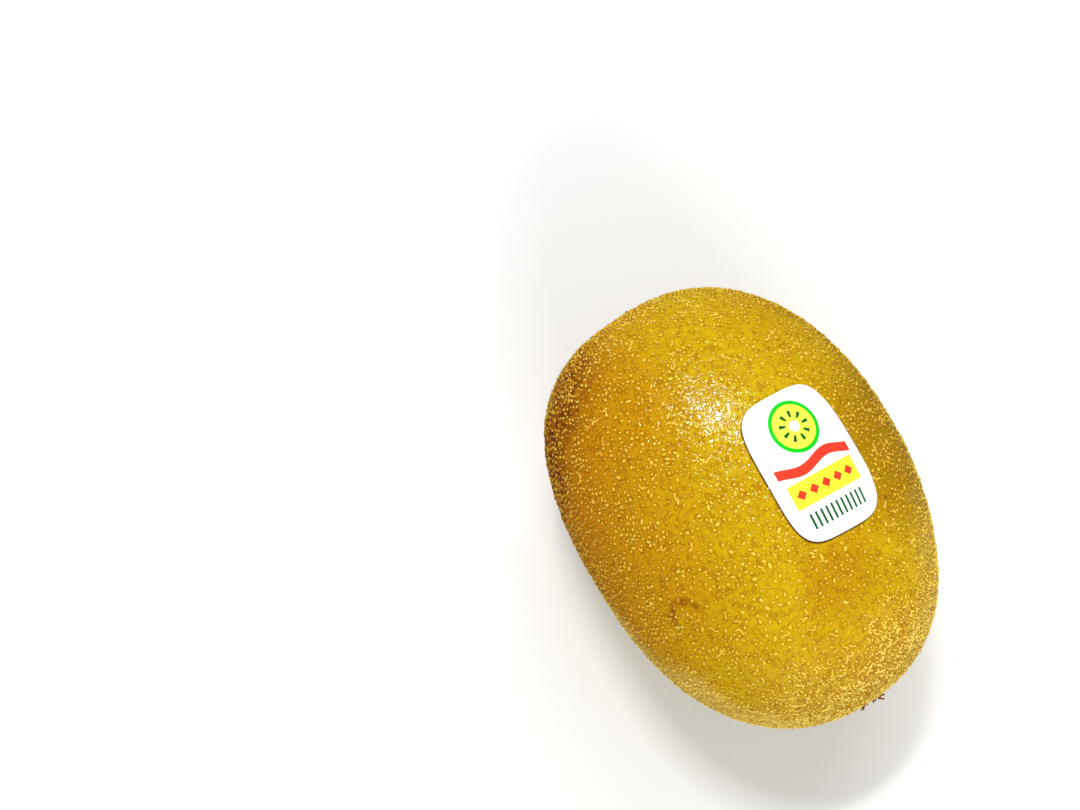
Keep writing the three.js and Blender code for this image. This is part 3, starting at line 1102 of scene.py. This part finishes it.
def lenticelMaterial():
    c, f = skinColours, lenticelFinish
    material, w, shader = newMaterial("lenticelCork", Specular_IOR_Level=f["specular"])
    place = placed(w)
    ground = groundOf(w, place)
    # the tops are paler, partly the cork's own colour and partly painted light; the feet get painted shade
    tone = w.mix(w.ramp(w.value("tone"), 0.1, 0.8), c["orangeTip"], c["tip"])
    pale = w.math("MAXIMUM", w.value("blossomEnd"), ground["Painted Sheen"])
    tip = w.mix(w.math("MULTIPLY", pale, f["straw"]), tone, c["straw"])
    shade = w.mix(w.math("MULTIPLY_ADD", pale, *f["shade"]), ground["Colour"], c["foot"])
    shown = w.math("MULTIPLY_ADD", pale, *f["shown"])
    shown = w.math("MULTIPLY_ADD", ground["Russet"], f["shownOnRusset"], shown)
    top = w.mix(shown, ground["Colour"], tip)
    w.feed(shader.inputs["Base Color"], w.mix(w.ramp(w.value("lenticel"), 0.25, 0.95), shade, top))
    w.feed(shader.inputs["Roughness"], w.math("MULTIPLY_ADD", w.value("tone"), *f["roughness"]))
    grain = grouped(w, fineGrain, {"Place": place, "Scale": f["grainScale"], "Pores": 0.4})["Height"]
    w.feed(shader.inputs["Normal"], bumped(w, grain, 0.2, f["grainDepth"]))
    return material


def driedMaterial(name, colour, patch, streak):
    # dry plant matter in two browns; streak is the scale of its grain
    material, w, shader = newMaterial(name, Specular_IOR_Level=0.25)
    place = placed(w)
    patches = {"Place": place, "Colour": colour, "Patch": patch}
    patches.update({"Patch Scale": 700.0, "Fleck Scale": 3600.0, "Flecks": 0.8})
    made = grouped(w, mottle, patches)
    w.feed(shader.inputs["Base Color"], made["Colour"])
    w.feed(shader.inputs["Roughness"], w.math("MULTIPLY_ADD", made["Mask"], 0.2, 0.62))
    grain = grouped(w, fineGrain, {"Place": place, "Scale": streak, "Pores": 0.5})["Height"]
    w.feed(shader.inputs["Normal"], bumped(w, grain, 0.6, 0.0002))
    return material


labelColours = {
    "paper": rgb(252, 252, 250),
    "green": rgb(4, 196, 24),
    "lime": rgb(222, 238, 70),
    "darkGreen": rgb(8, 92, 34),
    "red": rgb(240, 56, 34),
    "yellow": rgb(254, 228, 52),
    # the paper's edge and underside darker, a painted shade
    "paperEdgeShade": rgb(120, 84, 52),
}

# The print on the label, in mm from its middle
labelPrint = {
    "softness": 0.07,  # of every edge
    "slice": {"up": 5.5, "rind": 3.9, "flesh": 3.3, "core": 0.8},
    "seeds": {"count": 9.0, "ring": 1.85, "half": 0.5},
    "wave": {"swing": 0.5, "turns": 0.68, "up": 0.1, "halfLength": 6.3, "halfWidth": 0.75},
    "band": {"up": -3.4, "halfLength": 5.8, "halfWidth": 1.85},
    "lozenges": {"halfGap": 1.05, "half": 0.8, "reach": 5.2},
    "fringe": {"up": -7.5, "halfLength": 5.0, "halfWidth": 1.2, "halfGap": 0.45, "half": 0.2},
}


def labelMaterial():
    # plain shapes on white: a round slice, a red wave, a yellow band of lozenges, and a green fringe
    c = labelColours
    material, w, shader = newMaterial("labelPaper", Specular_IOR_Level=0.4)
    x, y = w.value("labelRight"), w.value("labelUp")

    def inside(distance):
        return w.ramp(distance, -labelPrint["softness"], labelPrint["softness"], 1.0, 0.0)

    def less(first, second):
        return w.math("SUBTRACT", first, second)

    def outside(value, middle, half):
        # how far a value lies outside a span
        return less(w.math("ABSOLUTE", less(value, middle)), half)

    def boxed(shape):
        along = outside(x, 0.0, shape["halfLength"])
        return w.math("MAXIMUM", along, outside(y, shape["up"], shape["halfWidth"]))

    def repeated(halfGap):
        # how far x lies from the nearest of many even steps; the added steps keep it above zero
        return w.math("PINGPONG", w.math("ADD", x, 40 * halfGap), halfGap)

    # the slice and its seeds
    s, ring = labelPrint["slice"], labelPrint["seeds"]
    up = less(y, s["up"])
    far = w.math("SQRT", w.math("ADD", w.math("MULTIPLY", x, x), w.math("MULTIPLY", up, up)))
    colour = w.mix(inside(less(far, s["rind"])), c["paper"], c["green"])
    colour = w.mix(inside(less(far, s["flesh"])), colour, c["lime"])
    angle = w.math("ARCTAN2", up, x)
    wedge = w.ramp(w.math("COSINE", w.math("MULTIPLY", angle, ring["count"])), 0.35, 0.6)
    seeds = w.math("MULTIPLY", wedge, inside(outside(far, ring["ring"], ring["half"])))
    colour = w.mix(seeds, colour, c["darkGreen"])
    colour = w.mix(inside(less(far, s["core"])), colour, c["paper"])
    # the wave
    s = labelPrint["wave"]
    wave = w.math("MULTIPLY_ADD", w.math("SINE", w.math("MULTIPLY", x, s["turns"])), s["swing"], s["up"])
    colour = w.mix(inside(boxed({**s, "up": wave})), colour, c["red"])
    # the band and its lozenges
    band, s = labelPrint["band"], labelPrint["lozenges"]
    colour = w.mix(inside(boxed(band)), colour, c["yellow"])
    lozenge = w.math("ADD", repeated(s["halfGap"]), w.math("ABSOLUTE", less(y, band["up"])))
    lozenge = w.math("MAXIMUM", less(lozenge, s["half"]), outside(x, 0.0, s["reach"]))
    colour = w.mix(inside(lozenge), colour, c["red"])
    # the fringe of strokes
    s = labelPrint["fringe"]
    stroke = w.math("MAXIMUM", less(repeated(s["halfGap"]), s["half"]), boxed(s))
    colour = w.mix(inside(stroke), colour, c["darkGreen"])
    # painted shade: the paper's edge and underside are darker, standing in for the thin shadow round the
    # label
    colour = w.mix(w.ramp(w.value("labelFace"), 0.55, 0.95, 1.0, 0.0), colour, c["paperEdgeShade"])
    w.feed(shader.inputs["Base Color"], colour)
    # ink is a little glossier than bare paper
    ink = w.put("ShaderNodeSeparateColor", {0: colour}, mode="HSV").outputs[1]
    w.feed(shader.inputs["Roughness"], w.math("MULTIPLY_ADD", ink, -0.08, 0.42))
    grain = grouped(w, fineGrain, {"Place": placed(w), "Scale": 3200.0, "Pores": 0.1})["Height"]
    w.feed(shader.inputs["Normal"], bumped(w, grain, 0.15, 0.00005))
    return material


def wear(piece, material):
    piece.data.materials.clear()
    piece.data.materials.append(material)


wear(skin, skinMaterial())
cork = lenticelMaterial()
wear(lenticels, cork)
wear(endLenticels, cork)
wear(paperLabel, labelMaterial())
wear(driedStyles, driedMaterial("driedStyle", rgb(150, 64, 28), rgb(62, 24, 12), 2200.0))
wear(driedCalyx, driedMaterial("driedSepal", rgb(134, 92, 54), rgb(72, 42, 24), 1800.0))
wear(fineHairs, driedMaterial("hair", rgb(196, 150, 70), rgb(150, 100, 40), 2600.0))
print("materials made")


# Floor and light

studio = {
    "floor": rgb(224, 224, 223),
    "floorInGloss": rgb(46, 44, 40),
    "floorHalf": 3.0,  # m
    "world": 0.44,
    "glossyWorld": 0.07,
}

# Each light stands this way from the berry, at a distance in metres
lights = {
    "key": {
        "towards": (-0.45, 0.09, 0.88), "distance": 0.75,
        "width": 0.17, "height": 0.045, "power": 3.08, "mirrored": True,
    },
    "soft": {
        "towards": (-0.5, 0.5, 0.62), "distance": 0.8,
        "width": 0.5, "height": 0.35, "power": 2.9, "mirrored": False,
    },
    "fill": {
        "towards": (0.8, -0.22, 0.53), "distance": 0.9,
        "width": 0.6, "height": 0.4, "power": 5.9, "mirrored": False,
    },
}


def makeFloor():
    half = studio["floorHalf"]
    corners = [(-half, -half, 0), (half, -half, 0), (half, half, 0), (-half, half, 0)]
    mesh = bpy.data.meshes.new("floor")
    mesh.from_pydata(corners, [], [(0, 1, 2, 3)])
    floor = bpy.data.objects.new("floor", mesh)
    scene.collection.objects.link(floor)
    material, w, shader = newMaterial("floorPaper", Roughness=0.8, Specular_IOR_Level=0.2)
    # the floor is dimmer where it is mirrored, so that the skin keeps its colour along the sides
    mirrored = w.put("ShaderNodeLightPath").outputs["Is Glossy Ray"]
    w.feed(shader.inputs["Base Color"], w.mix(mirrored, studio["floor"], studio["floorInGloss"]))
    floor.data.materials.append(material)


def makeLight(name, setup):
    data = bpy.data.lights.new(name, "AREA")
    data.shape = "RECTANGLE"
    data.size, data.size_y = setup["width"], setup["height"]
    data.energy = setup["power"]
    light = bpy.data.objects.new(name, data)
    light.visible_glossy = setup["mirrored"]  # only the key light shows in the gloss
    back = Vector(setup["towards"]).normalized()
    target = Vector(berry["centre"]) * mm
    across = Vector((0, 1, 0)) - back * back.y  # the long side lies across the fruit
    across.normalize()
    turn = Matrix((across, back.cross(across), back)).transposed()
    light.matrix_world = Matrix.Translation(target + back * setup["distance"]) @ turn.to_4x4()
    scene.collection.objects.link(light)


def makeWorld():
    world = bpy.data.worlds.new("studio")
    world.use_nodes = True
    scene.world = world
    w = Wiring(world.node_tree)
    background = world.node_tree.nodes["Background"]
    background.inputs["Color"].default_value = (1, 1, 1, 1)
    glossy = w.put("ShaderNodeLightPath").outputs["Is Glossy Ray"]
    change = studio["glossyWorld"] - studio["world"]
    w.feed(background.inputs["Strength"], w.math("MULTIPLY_ADD", glossy, change, studio["world"]))


makeFloor()
for lightName, lightSetup in lights.items():
    makeLight(lightName, lightSetup)
makeWorld()
scene.view_settings.view_transform = "Standard"
scene.view_settings.look = "None"
print("floor and light made")
